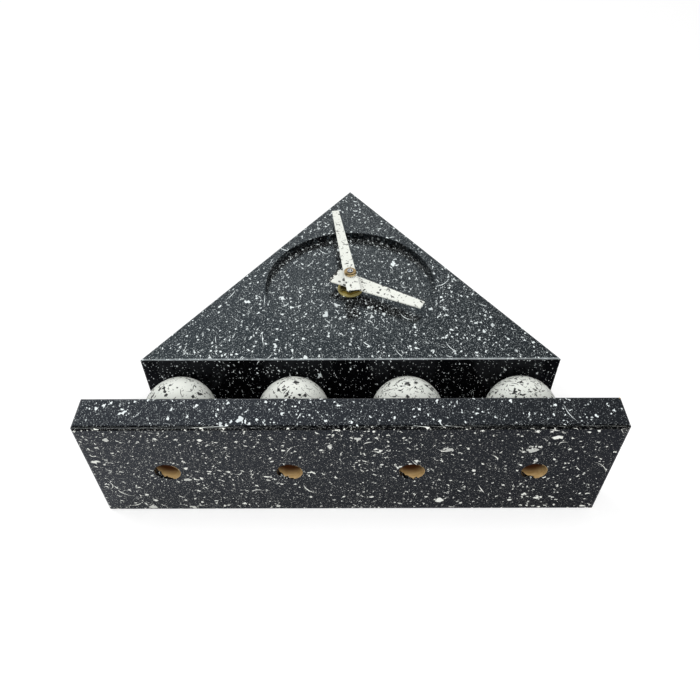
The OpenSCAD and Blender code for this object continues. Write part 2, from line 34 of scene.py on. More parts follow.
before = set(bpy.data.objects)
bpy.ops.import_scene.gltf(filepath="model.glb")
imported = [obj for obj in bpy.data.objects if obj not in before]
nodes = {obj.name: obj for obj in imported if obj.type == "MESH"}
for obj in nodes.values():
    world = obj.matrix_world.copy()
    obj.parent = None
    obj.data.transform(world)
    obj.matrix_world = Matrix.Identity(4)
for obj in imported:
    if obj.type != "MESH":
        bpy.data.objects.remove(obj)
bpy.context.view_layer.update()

MM = 0.001
BODY = "clock_body"
MINUTE_BODY = "minute_body"

# Camera, as the photograph was taken
CAMERA_AT = Vector((0.00111, -0.28427, -0.19061))
CAMERA_AIM = Vector((-0.00348, 0.71590, 0.69819))
SENSOR = 36.0
LENS = 34.018
NEAREST = 0.01

# Lamps: the place, diameter and watts of each, and the point that all of them face
LAMPS = {
    "key": (Vector((-0.45, -1.4, 0.30)), 0.6, 7.5),
    "fill": (Vector((0.0, -0.73, -0.80)), 0.5, 8.0),
    "back": (Vector((0.55, 1.3, 0.8)), 0.6, 7.0),
}
LAMP_AIM = Vector((0.0, 0.0, 0.1))

# Stage: half its width, its gap to the clock, and its greys. The greys seen in reflections are painted
# light and shade: lit on the left, shaded on the right, and a painted shadow.
STAGE_REACH = 3.0
STAGE_GAP = 0.3 * MM
STAGE_GREY = (0.55, 0.55, 0.55, 1.0)
STAGE_LIT_LEFT = (0.46, 0.46, 0.48, 1.0)
STAGE_SHADED_RIGHT = (0.22, 0.22, 0.24, 1.0)
STAGE_PAINTED_SHADOW = (0.02, 0.02, 0.02, 1.0)
WHITE = (1.0, 1.0, 1.0, 1.0)

# Places on the part that the materials follow
HOLE_R = 6.5 * MM
HOLE_DEPTH = 13 * MM
POCKET_HALF = 29.7 * MM
DIAL_R = 52.0 * MM
BUSH_R = 4.0 * MM
BUSH_PITCH = 0.75 * MM
ARBOR_R = 1.7 * MM
ARBOR_PITCH = 0.35 * MM
MOUTH_R = 1.15 * MM

# Hands: how far each is turned clockwise from twelve, and how long its tail is
HOUR_TURN = math.radians(118)
HOUR_TAIL = 11.8 * MM
MINUTE_TURN = math.radians(-8.5)
MINUTE_TAIL = 15.3 * MM

# Paint and wood. The tints colour the lacquer's shine.
PAINT_EDGE = 0.06 * MM
PAINT_RAISED = 0.05 * MM
PEEL_DEPTH = 0.02 * MM
BLACK = (0.0006, 0.0006, 0.0009, 1.0)
# Pale edge colour: wear and a painted edge highlight
RUBBED_AND_HIGHLIT = (0.34, 0.37, 0.38, 1.0)
COOL_FLECK = (0.84, 0.90, 0.90, 1.0)
WARM_FLECK = (0.89, 0.90, 0.84, 1.0)
BOARD_TINT = (0.70, 0.83, 1.0, 1.0)
PED_TINT = (0.64, 0.86, 1.0, 1.0)
# Painted shade: a dark tint for the shine on the pediment's underside
UNDERSIDE_SHADE_TINT = (0.10, 0.12, 0.20, 1.0)
WOOD_DARK = (0.50, 0.32, 0.125, 1.0)
WOOD_LIGHT = (0.68, 0.47, 0.22, 1.0)
# Painted shade for bare wood far inside the holes and the pocket
WOOD_PAINTED_SHADE = (0.055, 0.018, 0.005, 1.0)

# Metals: the clean colour and the tarnished or scratched one
BRIGHT_BRASS = ((0.62, 0.46, 0.24, 1.0), (0.38, 0.26, 0.12, 1.0))
DULL_BRASS = ((0.58, 0.47, 0.17, 1.0), (0.28, 0.22, 0.08, 1.0))
WASHER_BRASS = ((0.78, 0.67, 0.27, 1.0), (0.54, 0.45, 0.17, 1.0))
PLATED_STEEL = ((0.72, 0.73, 0.75, 1.0), (0.52, 0.54, 0.57, 1.0))
ARBOR_STEEL = ((0.74, 0.77, 0.82, 1.0), (0.55, 0.58, 0.63, 1.0))
DRAWN_STEEL = ((0.66, 0.66, 0.66, 1.0), (0.46, 0.46, 0.47, 1.0))
SOFT_IRON = ((0.42, 0.42, 0.43, 1.0), (0.28, 0.28, 0.29, 1.0))


def middle(node):
    low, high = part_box(node)
    return (low + high) / 2


def front_of(node):
    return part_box(node)[0].y


BOARD_LOW, BOARD_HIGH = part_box("base_board")
PED_LOW, PED_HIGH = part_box("pediment")
BALL_PITCH = middle("ball_2").x - middle("ball_1").x
SHAFT = (0.0, 0.0, middle("hand_nut").z)
POCKET_FLOOR_Y = front_of("rubber_gasket")
CASE_MID = middle("movement_case")


class Nodes:
    """A node tree, with a short call for each kind of node that is used here."""

    def __init__(self, tree):
        self.tree = tree

    def feed(self, socket, value):
        if isinstance(value, bpy.types.NodeSocket):
            self.tree.links.new(value, socket)
        else:
            socket.default_value = value

    def node(self, kind, inputs=None, **settings):
        made = self.tree.nodes.new("ShaderNode" + kind)
        for name, value in settings.items():
            setattr(made, name, value)
        for socket, value in (inputs or {}).items():
            self.feed(made.inputs[socket], value)
        return made

    def math(self, operation, *values):
        return self.node("Math", dict(enumerate(values)), operation=operation).outputs[0]

    def chain(self, operation, total, *values):
        """One operation over several values in turn."""
        for value in values:
            total = self.math(operation, total, value)
        return total

    def product(self, *values):
        return self.chain("MULTIPLY", *values)

    def largest(self, *values):
        return self.chain("MAXIMUM", *values)

    def hypotenuse(self, a, b):
        return self.math("SQRT", self.math("ADD", self.product(a, a), self.product(b, b)))

    def vector(self, operation, *values):
        made = self.node("VectorMath", dict(enumerate(values)), operation=operation)
        return made.outputs["Value" if operation == "DOT_PRODUCT" else "Vector"]

    def scaled(self, vector, factor):
        made = self.node("VectorMath", {0: vector, "Scale": factor}, operation="SCALE")
        return made.outputs["Vector"]

    def parts(self, vector):
        made = self.node("SeparateXYZ", {0: vector})
        return [made.outputs[i] for i in range(3)]

    def smooth(self, value, start, end, low=0.0, high=1.0):
        """A soft step from low at start to high at end."""
        inputs = {"Value": value, "From Min": start, "From Max": end, "To Min": low, "To Max": high}
        return self.node("MapRange", inputs, interpolation_type="SMOOTHSTEP").outputs[0]

    def linear(self, value, start, end, low=0.0, high=1.0):
        """A straight ramp from low at start to high at end, level outside."""
        inputs = {"Value": value, "From Min": start, "From Max": end, "To Min": low, "To Max": high}
        return self.node("MapRange", inputs).outputs[0]


class Graph(Nodes):
    """A material's node tree, with the place and the normal that the material follows."""

    def __init__(self, name):
        self.material = bpy.data.materials.new(name)
        self.material.use_nodes = True
        super().__init__(self.material.node_tree)
        self.tree.nodes.clear()
        self.output = self.node("OutputMaterial")
        coords = self.node("TexCoord")
        self.place = coords.outputs["Object"]
        self.normal = coords.outputs["Normal"]

    def mix(self, factor, a, b):
        """A colour between a and b. A Mix node has its colours at inputs 6 and 7 and at output 2."""
        return self.node("Mix", {0: factor, 6: a, 7: b}, data_type="RGBA").outputs[2]

    def noise(self, scale, detail=2.0, place=None, output=0):
        inputs = {"Vector": place or self.place, "Scale": scale, "Detail": detail}
        return self.node("TexNoise", inputs).outputs[output]

    def centred(self, colour):
        """A noise's or a cell's colour as a vector about zero."""
        return self.vector("SUBTRACT", colour, (0.5, 0.5, 0.5))

    def wobbled(self, place, scale, amount):
        """The place, pushed about by a noise of that scale."""
        push = self.centred(self.noise(scale, 1.0, place, "Color"))
        return self.vector("ADD", place, self.scaled(push, amount))

    def bump(self, height, distance, strength, under=None):
        inputs = {"Height": height, "Distance": distance, "Strength": strength}
        if under is not None:
            inputs["Normal"] = under
        return self.node("Bump", inputs).outputs[0]

    def peel(self, scale, strength):
        """The faint orange peel of sprayed lacquer."""
        return self.bump(self.noise(scale), PEEL_DEPTH, strength)

    def surface(self, shader):
        self.tree.links.new(shader.outputs[0], self.output.inputs["Surface"])

    def principled(self, **inputs):
        named = {name.replace("_", " ").title(): value for name, value in inputs.items()}
        named = {name.replace("Ior", "IOR"): value for name, value in named.items()}
        self.surface(self.node("BsdfPrincipled", named))
        return self.material


def dress(material, *names):
    for name in names:
        slots = nodes[name].data.materials
        slots.clear()
        slots.append(material)


def drops(g, place, pitch, smallest, largest, share, faintest):
    """Paint drops, at most one in each cell of the pitch: a mask from 0 to each drop's own strength."""
    cell = g.node("TexVoronoi", {"Vector": place, "Scale": 1 / pitch})
    chance, size, tone = g.parts(cell.outputs["Color"])
    absent = g.math("GREATER_THAN", chance, share)
    radius = g.linear(g.math("POWER", size, 2.0), 0.0, 1.0, smallest / pitch, largest / pitch)
    radius = g.math("SUBTRACT", radius, absent)
    outer = g.math("ADD", radius, PAINT_EDGE / pitch)
    inner = g.math("SUBTRACT", radius, PAINT_EDGE / pitch)
    mask = g.smooth(cell.outputs["Distance"], outer, inner)
    return g.product(mask, g.linear(tone, 0.0, 1.0, faintest, 1.0))


def threads(g, place, pitch, half_length, half_width, share, bend):
    """Flung threads of paint, at most one in each cell: tapered, bent strokes along the surface."""
    shortest = 0.3 * half_length
    thinnest = 0.5 * half_width
    cell = g.node("TexVoronoi", {"Vector": place, "Scale": 1 / pitch})
    chance, size, turn = g.parts(cell.outputs["Color"])
    aim = g.centred(cell.outputs["Color"])
    heading = g.vector("NORMALIZE", g.vector("CROSS_PRODUCT", g.normal, aim))
    side = g.vector("CROSS_PRODUCT", g.normal, heading)
    offset = g.vector("SUBTRACT", place, cell.outputs["Position"])
    reach = g.linear(size, 0.0, 1.0, shortest, half_length)
    along = g.math("DIVIDE", g.vector("DOT_PRODUCT", offset, heading), reach)
    curve = g.product(along, along, g.linear(turn, 0.0, 1.0, -bend, bend))
    across = g.math("ADD", g.vector("DOT_PRODUCT", offset, side), curve)
    taper = g.math("SUBTRACT", 1.0, g.math("POWER", g.math("ABSOLUTE", along), 1.5))
    absent = g.math("GREATER_THAN", chance, share)
    width = g.product(taper, g.linear(chance, 0.0, share, thinnest, half_width))
    width = g.math("SUBTRACT", width, absent)
    outer = g.math("ADD", width, PAINT_EDGE)
    inner = g.math("SUBTRACT", width, PAINT_EDGE)
    return g.smooth(g.math("ABSOLUTE", across), outer, inner)


def splatter(g, below, spray, smeared):
    """White paint flung over black: mist, drops of three sizes, flecks, strokes and a few long hairs.

    The spray is how much coarse paint, small drops and haze there is. A face that looks down has its drops
    smeared by the scale that is given, and the others are drawn out upwards a little.
    """
    coarse, small, haze = spray
    smear = g.mix(below, (1.0, 1.0, 0.85, 1.0), smeared)
    place = g.vector("MULTIPLY", g.place, smear)
    shaken = g.wobbled(place, 1400.0, 1.0 * MM)
    ragged = g.wobbled(place, 900.0, 2.2 * MM)
    torn = g.wobbled(place, 450.0, 5.0 * MM)
    mist = drops(g, place, pitch=0.5 * MM, smallest=0.08 * MM, largest=0.20 * MM, share=0.95, faintest=0.1)
    mist = g.product(mist, haze)
    fine = drops(g, shaken, pitch=1.4 * MM, smallest=0.17 * MM, largest=0.42 * MM,
                 share=g.product(small, 0.46), faintest=0.5)
    medium = drops(g, ragged, pitch=3.0 * MM, smallest=0.40 * MM, largest=0.88 * MM,
                   share=g.product(coarse, 0.38), faintest=0.85)
    flecks = threads(g, ragged, pitch=4.6 * MM, half_length=1.35 * MM, half_width=0.40 * MM,
                     share=g.product(coarse, 0.30), bend=0.3 * MM)
    blots = drops(g, torn, pitch=9.0 * MM, smallest=0.9 * MM, largest=2.0 * MM,
                  share=g.product(coarse, 0.42), faintest=0.6)
    strokes = threads(g, ragged, pitch=8.5 * MM, half_length=2.2 * MM, half_width=0.30 * MM,
                      share=g.product(coarse, 0.38), bend=0.6 * MM)
    hairs = threads(g, place, pitch=26.0 * MM, half_length=6.5 * MM, half_width=0.28 * MM,
                    share=g.product(coarse, 0.35), bend=2.2 * MM)
    return g.largest(mist, fine, medium, flecks, blots, strokes, hairs)


def lacquer(g, bare, wear_and_edge_highlight, painted_deep_shade, spray, smeared, shine_tint, warmth, cover=1.0):
    """Black lacquer under white splatter, pale along some edges with wear and a painted edge highlight, and
    wood where bare.

    The wood darkens further in as painted shade, flecks on a face that looks down take the warmth, and the
    cover thins the splatter.
    """
    below = g.smooth(g.parts(g.normal)[2], -0.3, -0.7)
    paint = g.product(splatter(g, below, spray, smeared), cover)
    fleck = g.mix(g.product(below, warmth), COOL_FLECK, WARM_FLECK)
    coat = g.mix(paint, g.mix(wear_and_edge_highlight, BLACK, RUBBED_AND_HIGHLIT), fleck)
    grain = g.noise(160.0, 4.0, g.vector("MULTIPLY", g.place, (1.0, 6.0, 6.0)))
    wood = g.mix(g.smooth(grain, 0.3, 0.7), WOOD_DARK, WOOD_LIGHT)
    # Wood mixed towards the painted shade colour
    wood = g.mix(painted_deep_shade, wood, WOOD_PAINTED_SHADE)
    raised = g.bump(paint, PAINT_RAISED, 0.4, g.peel(900.0, 0.2))
    shine = g.linear(g.largest(paint, bare), 0.0, 1.0, 0.2, 0.6)
    return g.principled(base_color=g.mix(bare, coat, wood), roughness=shine, normal=raised,
                        specular_ior_level=0.61, specular_tint=shine_tint)


def board_material():
    g = Graph("board_lacquer")
    x, y, z = g.parts(g.place)

    # Bare wood in the holes, with a ragged edge and more paint blown in on the left
    from_hole = g.math("WRAP", g.math("ADD", x, BALL_PITCH / 2), -BALL_PITCH / 2, BALL_PITCH / 2)
    in_hole = g.math("LESS_THAN", g.hypotenuse(from_hole, y), HOLE_R + 0.15 * MM)
    ragged_edge = g.linear(g.noise(330.0, 3.0), 0.3, 0.7, -1.2 * MM, 1.2 * MM)
    overspray = g.linear(from_hole, -HOLE_R, HOLE_R, 3.2 * MM, -1.4 * MM)
    mouth = g.math("ADD", ragged_edge, overspray)
    hole_wood = g.product(in_hole, g.smooth(z, mouth, g.math("ADD", mouth, 0.3 * MM)))
    # Painted shade: the wood in each hole darkens further in
    painted_deep_shade = g.product(g.smooth(z, 0.05 * HOLE_DEPTH, 0.55 * HOLE_DEPTH), in_hole)

    # Chipped corners, and front and back edges painted pale on the left: wear and a painted edge highlight
    half = (BOARD_HIGH - BOARD_LOW) / 2
    offset = g.vector("ABSOLUTE", g.vector("SUBTRACT", g.place, tuple(middle("base_board"))))
    from_end, from_front, from_top = g.parts(g.vector("SUBTRACT", tuple(half), offset))
    chip_size = g.linear(g.noise(420.0), 0.4, 0.7, 0.2 * MM, 1.4 * MM)
    chipped = g.math("LESS_THAN", g.largest(from_end, from_front, from_top), chip_size)
    bare = g.largest(hole_wood, chipped)
    from_edge = g.largest(from_front, g.math("MINIMUM", from_top, from_end))
    rubbed_and_highlit_left = g.smooth(x, -30 * MM, -80 * MM, 0.0, 0.4)
    wear_and_edge_highlight = g.product(g.smooth(from_edge, 0.75 * MM, 0.35 * MM), rubbed_and_highlit_left)

    # More paint on the left, and less coarse paint on the front
    leftward = g.linear(x, BOARD_LOW.x, BOARD_HIGH.x, 1.0, 0.0)
    on_front = g.smooth(g.parts(g.normal)[1], -0.3, -0.7, 1.0, 0.6)
    coarse = g.product(on_front, g.linear(leftward, 0.0, 1.0, 0.85, 1.0))
    small = g.linear(leftward, 0.0, 1.0, 0.6, 0.8)
    haze = g.linear(leftward, 0.0, 1.0, 0.3, 0.6)
    smeared = (0.82, 1.0, 1.0, 1.0)
    return lacquer(g, bare, wear_and_edge_highlight, painted_deep_shade, (coarse, small, haze), smeared, BOARD_TINT, warmth=1.0)


def pediment_material():
    g = Graph("pediment_lacquer")
    x, y, z = g.parts(g.place)

    # Bare wood in the movement's pocket, up to a ragged line near its mouth
    across, _, up = g.parts(g.vector("ABSOLUTE", g.vector("SUBTRACT", g.place, tuple(CASE_MID))))
    inside = g.math("LESS_THAN", g.largest(across, up), POCKET_HALF)
    mouth = g.linear(g.noise(200.0, 3.0), 0.3, 0.7, PED_HIGH.y - 3 * MM, PED_HIGH.y - 1 * MM)
    behind = g.math("GREATER_THAN", y, POCKET_FLOOR_Y - 0.5 * MM)
    before = g.math("LESS_THAN", y, mouth)
    bare = g.product(inside, behind, before)
    # Painted shade: the pocket's bare wood is darkened a quarter of the way
    painted_deep_shade = g.product(bare, 0.25)

    # Pale edges round the front face, most of all along its base: wear and a painted edge highlight
    slope = Vector((PED_HIGH.z - PED_LOW.z, PED_HIGH.x)).normalized()
    from_base = g.math("SUBTRACT", z, PED_LOW.z)
    from_face = g.math("SUBTRACT", y, PED_LOW.y)
    run = g.product(g.math("SUBTRACT", PED_HIGH.x, g.math("ABSOLUTE", x)), slope.x)
    from_slope = g.math("SUBTRACT", run, g.product(from_base, slope.y))
    base_edge = g.smooth(g.largest(from_base, from_face), 0.9 * MM, 0.45 * MM)
    slope_edge = g.smooth(g.largest(from_slope, from_face), 0.8 * MM, 0.4 * MM, 0.0, 0.3)
    rub_and_highlight = g.linear(g.noise(180.0, 3.0), 0.35, 0.65, 0.45, 1.0)
    wear_and_edge_highlight = g.product(g.largest(base_edge, slope_edge), rub_and_highlight)

    # Thin splatter on the dial's rim, and an underside with little coarse paint and almost no mist,
    # whose shine is darkened as painted shade
    _, facing_y, facing_z = g.parts(g.normal)
    from_shaft = g.hypotenuse(x, g.math("SUBTRACT", z, SHAFT[2]))
    on_rim = g.math("LESS_THAN", g.math("ABSOLUTE", g.math("SUBTRACT", from_shaft, DIAL_R)), 0.3 * MM)
    sunk = g.math("LESS_THAN", g.math("ABSOLUTE", facing_y), 0.5)
    cover = g.linear(g.product(on_rim, sunk), 0.0, 1.0, 1.0, 0.25)
    under = g.product(g.smooth(facing_z, -0.7, -0.9), g.math("LESS_THAN", from_base, 1.0 * MM))
    coarse = g.linear(under, 0.0, 1.0, 1.12, 0.3)
    small = g.linear(under, 0.0, 1.0, 1.2, 1.0)
    haze = g.linear(under, 0.0, 1.0, 0.7, 0.02)
    smeared = (1.5, 1.1, 1.0, 1.0)
    # Painted shade: the underside's shine takes the dark tint
    shine_tint = g.mix(under, PED_TINT, UNDERSIDE_SHADE_TINT)
    return lacquer(g, bare, wear_and_edge_highlight, painted_deep_shade, (coarse, small, haze), smeared, shine_tint, 0.0, cover)


def ball_material():
    """White lacquer with black splatter: more drops and blots to the left, more lines to the right."""
    g = Graph("ball_lacquer")
    ragged = g.wobbled(g.place, 900.0, 2.0 * MM)
    torn = g.wobbled(g.place, 450.0, 4.0 * MM)
    rightward = g.linear(g.parts(g.place)[0], -1.5 * BALL_PITCH, 1.5 * BALL_PITCH)
    many = g.linear(rightward, 0.0, 1.0, 0.2, 0.7)
    few = g.linear(rightward, 0.0, 1.0, 0.6, 0.22)
    lined = g.linear(rightward, 0.0, 0.7, 0.05, 0.85)
    fine = drops(g, ragged, pitch=1.3 * MM, smallest=0.16 * MM, largest=0.48 * MM, share=0.4, faintest=0.6)
    flecks = threads(g, ragged, pitch=2.6 * MM, half_length=1.3 * MM, half_width=0.48 * MM,
                     share=g.product(many, 0.6), bend=0.4 * MM)
    medium = drops(g, ragged, pitch=2.7 * MM, smallest=0.5 * MM, largest=1.2 * MM, share=few, faintest=0.95)
    blots = drops(g, torn, pitch=6.0 * MM, smallest=0.9 * MM, largest=2.2 * MM, share=few, faintest=0.95)
    strokes = threads(g, ragged, pitch=4.2 * MM, half_length=2.8 * MM, half_width=0.48 * MM,
                      share=many, bend=0.9 * MM)
    hairs = threads(g, g.place, pitch=5.0 * MM, half_length=4.5 * MM, half_width=0.22 * MM,
                    share=lined, bend=2.5 * MM)
    paint = g.largest(fine, flecks, medium, blots, strokes, hairs)
    ground = g.mix(g.noise(60.0, 3.0), (0.79, 0.82, 0.755, 1.0), (0.86, 0.88, 0.83, 1.0))
    return g.principled(base_color=g.mix(paint, ground, (0.010, 0.010, 0.011, 1.0)),
                        roughness=g.linear(paint, 0.0, 1.0, 0.42, 0.5), specular_ior_level=0.3,
                        normal=g.bump(paint, PAINT_RAISED, 0.4, g.peel(900.0, 0.25)))


def hand_material(name, turn, tail, chip):
    """White lacquer with black splatter, chipped off at the end of the tail, and a black back."""
    g = Graph(name)
    ragged = g.wobbled(g.place, 900.0, 1.6 * MM)
    fine = drops(g, ragged, pitch=1.2 * MM, smallest=0.14 * MM, largest=0.45 * MM, share=0.65, faintest=0.3)
    fine = g.product(fine, 0.9)
    medium = drops(g, ragged, pitch=2.7 * MM, smallest=0.4 * MM, largest=1.0 * MM, share=0.7, faintest=0.85)
    strokes = threads(g, ragged, pitch=5.5 * MM, half_length=2.4 * MM, half_width=0.5 * MM,
                      share=0.7, bend=0.6 * MM)
    back = g.math("GREATER_THAN", g.parts(g.normal)[1], 0.5)
    heading = (math.sin(turn), 0.0, math.cos(turn))
    along = g.vector("DOT_PRODUCT", g.vector("SUBTRACT", g.place, SHAFT), heading)
    loss = g.linear(g.noise(800.0), 0.35, 0.65, 0.0, chip)
    chipped = g.math("LESS_THAN", g.math("ADD", along, tail), loss)
    dark = g.largest(fine, medium, strokes, back, chipped)
    ground = g.mix(g.noise(150.0, 3.0), (0.76, 0.78, 0.72, 1.0), (0.83, 0.85, 0.79, 1.0))
    return g.principled(base_color=g.mix(dark, ground, (0.012, 0.012, 0.012, 1.0)),
                        roughness=g.linear(dark, 0.0, 1.0, 0.4, 0.55), normal=g.peel(1100.0, 0.3))


def turned_metal(name, colours, roughness, metallic=1.0, bore=0.0, bore_y=0.0):
    """Metal turned about the shaft: fine rings, a little tarnish, and a bore painted dark as shade behind
    its mouth.
    """
    g = Graph(name)
    ring_width = 0.16 * MM
    x, y, z = g.parts(g.vector("SUBTRACT", g.place, SHAFT))
    radius = g.hypotenuse(x, z)
    rings = g.math("SINE", g.product(radius, 2 * math.pi / ring_width))
    tarnish = g.smooth(g.noise(420.0, 4.0), 0.35, 0.7)
    # Painted shade: inside the bore, behind its mouth, the metal is painted near black
    inside = g.product(g.math("LESS_THAN", radius, bore), g.math("GREATER_THAN", y, bore_y))
    tint = g.mix(inside, g.mix(tarnish, *colours), (0.012, 0.013, 0.016, 1.0))
    return g.principled(base_color=tint, metallic=metallic,
                        roughness=g.linear(tarnish, 0.0, 1.0, roughness, roughness + 0.16),
                        normal=g.bump(rings, 0.004 * MM, 0.4))


def drawn_metal(name, colours, roughness):
    """Sheet or bar metal with fine lengthwise scratches."""
    g = Graph(name)
    light, dark = colours
    streak = g.noise(900.0, 3.0, g.vector("MULTIPLY", g.place, (1.0, 1.0, 0.06)))
    return g.principled(base_color=g.mix(streak, dark, light), metallic=1.0,
                        roughness=g.linear(streak, 0.2, 0.8, roughness, roughness + 0.15),
                        normal=g.bump(streak, 0.004 * MM, 0.3))


def plastic(name, colour, roughness, texture=0.012 * MM):
    """Moulded plastic with a fine spark-eroded texture."""
    g = Graph(name)
    low = tuple(0.85 * c for c in colour) + (1.0,)
    grain = g.noise(2600.0)
    return g.principled(base_color=g.mix(g.noise(90.0, 3.0), low, colour + (1.0,)),
                        roughness=g.linear(grain, 0.2, 0.8, roughness - 0.06, roughness + 0.08),
                        normal=g.bump(grain, texture, 0.4))


def winding_material():
    """Enamelled wire, wound in close turns along X."""
    g = Graph("copper_wire")
    wire = 0.12 * MM
    turns = g.math("SINE", g.product(g.parts(g.place)[0], 2 * math.pi / wire))
    tint = g.mix(g.noise(700.0), (0.45, 0.16, 0.06, 1.0), (0.72, 0.30, 0.13, 1.0))
    return g.principled(base_color=tint, metallic=0.85, roughness=g.linear(turns, -1.0, 1.0, 0.3, 0.42),
                        normal=g.bump(turns, 0.03 * MM, 0.8))


def laminate_material():
    """Circuit board under green solder resist, with a faint weave."""
    g = Graph("circuit_laminate")
    weave = g.node("TexChecker", {"Vector": g.place, "Scale": 1600.0}).outputs["Fac"]
    tint = g.mix(g.noise(300.0), (0.012, 0.09, 0.035, 1.0), (0.02, 0.14, 0.055, 1.0))
    return g.principled(base_color=tint, roughness=g.linear(weave, 0.0, 1.0, 0.3, 0.36),
                        normal=g.bump(weave, 0.006 * MM, 0.3))


def cell_material():
    """Plain battery sleeve, dark with a copper-coloured end, and bare metal at both caps."""
    g = Graph("cell_sleeve")
    low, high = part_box("battery")
    x = g.parts(g.place)[0]
    span = high.x - low.x
    copper = g.smooth(x, low.x + 0.30 * span, low.x + 0.295 * span)
    near_cap = g.math("LESS_THAN", x, low.x + 1.6 * MM)
    far_cap = g.math("GREATER_THAN", x, high.x - 0.4 * MM)
    cap = g.largest(near_cap, far_cap)
    scuff = g.noise(500.0, 3.0)
    sleeve = g.mix(copper, (0.015, 0.017, 0.020, 1.0), (0.55, 0.27, 0.10, 1.0))
    return g.principled(base_color=g.mix(cap, sleeve, (0.66, 0.66, 0.64, 1.0)),
                        metallic=g.largest(cap, g.product(copper, 0.8)),
                        roughness=g.linear(scuff, 0.2, 0.8, 0.24, 0.4),
                        normal=g.bump(scuff, 0.006 * MM, 0.2))


def new_piece(name, points, faces, body, material):
    mesh = bpy.data.meshes.new(name)
    mesh.from_pydata(points, [], faces)
    mesh.materials.append(material)
    piece = bpy.data.objects.new(name, mesh)
    bpy.context.scene.collection.objects.link(piece)
    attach(piece, body)
    return piece


def on_shaft(radius, angle, y):
    return (radius * math.cos(angle), y, SHAFT[2] + radius * math.sin(angle))


def make_ring(name, node, body, material, section):
    """A ring turned about the shaft from the (radius, y) corners of its section, in place of a node."""
    sides = 96
    count = len(section)
    points = []
    faces = []
    for i in range(sides):
        points += [on_shaft(radius, 2 * math.pi * i / sides, y) for radius, y in section]
        here, there = count * i, count * ((i + 1) % sides)
        for k in range(count):
            after = (k + 1) % count
            faces.append((here + k, there + k, there + after, here + after))
    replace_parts(new_piece(name, points, faces, body, material), node)


def make_hand_nut(material):
    """The nut that holds the minute hand, bevelled on both sides, with a countersunk bore."""
    low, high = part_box("hand_nut")
    outer = (high.x - low.x) / 2
    bore = ARBOR_R + 0.02 * MM
    back, front = high.y, low.y
    bevel, undercut, sink = 0.4 * MM, 0.9 * MM, 0.3 * MM
    section = [(bore, back), (outer - undercut, back), (outer, back - undercut), (outer, front + bevel),
               (outer - bevel, front), (bore + sink, front), (bore, front + sink)]
    make_ring("hand_nut_turned", "hand_nut", MINUTE_BODY, material, section)


def make_washer(material):
    """The washer under the dial nut, with a rounded front edge."""
    low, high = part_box("dial_washer")
    outer = (high.x - low.x) / 2
    ease = 0.35 * MM
    rim = [math.radians(15 * k) for k in range(7)]
    edge = [(outer - ease * (1 - math.cos(a)), low.y + ease * (1 - math.sin(a))) for a in rim]
    section = [(BUSH_R, high.y), (outer, high.y)] + edge + [(BUSH_R, low.y)]
    make_ring("dial_washer_turned", "dial_washer", BODY, material, section)


def make_thread(name, body, material, radius, pitch, start, end):
    """A single helical ridge round the shaft, tapered out at both ends."""
    turns = (end - start) / pitch
    steps = round(48 * turns)
    fade = 10
    height, root, half = 0.16 * pitch, 0.06 * MM, 0.4 * pitch
    points = []
    faces = []
    for i in range(steps + 1):
        angle = 2 * math.pi * turns * i / steps
        y = start + (end - start) * i / steps
        crest = height * min(1.0, i / fade, (steps - i) / fade)
        points += [on_shaft(radius - root, angle, y - half), on_shaft(radius + crest, angle, y),
                   on_shaft(radius - root, angle, y + half)]
    for i in range(steps):
        here, there = 3 * i, 3 * (i + 1)
        faces += [(here + k, here + (k + 1) % 3, there + (k + 1) % 3, there + k) for k in range(3)]
    faces += [(2, 1, 0), (3 * steps, 3 * steps + 1, 3 * steps + 2)]
    new_piece(name, points, faces, body, material)


def dress_wood_and_hands():
    dress(board_material(), "base_board")
    dress(pediment_material(), "pediment")
    dress(ball_material(), *[f"ball_{i}" for i in range(1, 5)])
    dress(hand_material("hour_lacquer", HOUR_TURN, HOUR_TAIL, chip=2.1 * MM), "hour_hand")
    dress(hand_material("minute_lacquer", MINUTE_TURN, MINUTE_TAIL, chip=0.4 * MM), "minute_hand")


def dress_shaft():
    """Brass and steel on the shaft, with a turned nut and washer and the two threads."""
    bright_brass = turned_metal("bright_brass", BRIGHT_BRASS, 0.26)
    dress(bright_brass, "hand_nut")
    dress(turned_metal("dull_brass", DULL_BRASS, 0.16, metallic=0.93), "dial_nut", "dial_washer")
    make_washer(turned_metal("washer_brass", WASHER_BRASS, 0.24, metallic=0.6))
    plated = turned_metal("plated_steel", PLATED_STEEL, 0.24)
    dress(plated, "threaded_bush")
    arbor_y = front_of("minute_arbor")
    arbor = turned_metal("arbor_steel", ARBOR_STEEL, 0.2, bore=MOUTH_R, bore_y=arbor_y + 0.1 * MM)
    dress(arbor, "minute_arbor")
    make_hand_nut(bright_brass)
    bush_start = front_of("threaded_bush") + 0.25 * MM
    make_thread("bush_thread", BODY, plated, BUSH_R, BUSH_PITCH, bush_start, front_of("dial_nut"))
    arbor_start = arbor_y + 0.08 * MM
    make_thread("arbor_thread", MINUTE_BODY, arbor, ARBOR_R, ARBOR_PITCH, arbor_start, front_of("hand_nut"))


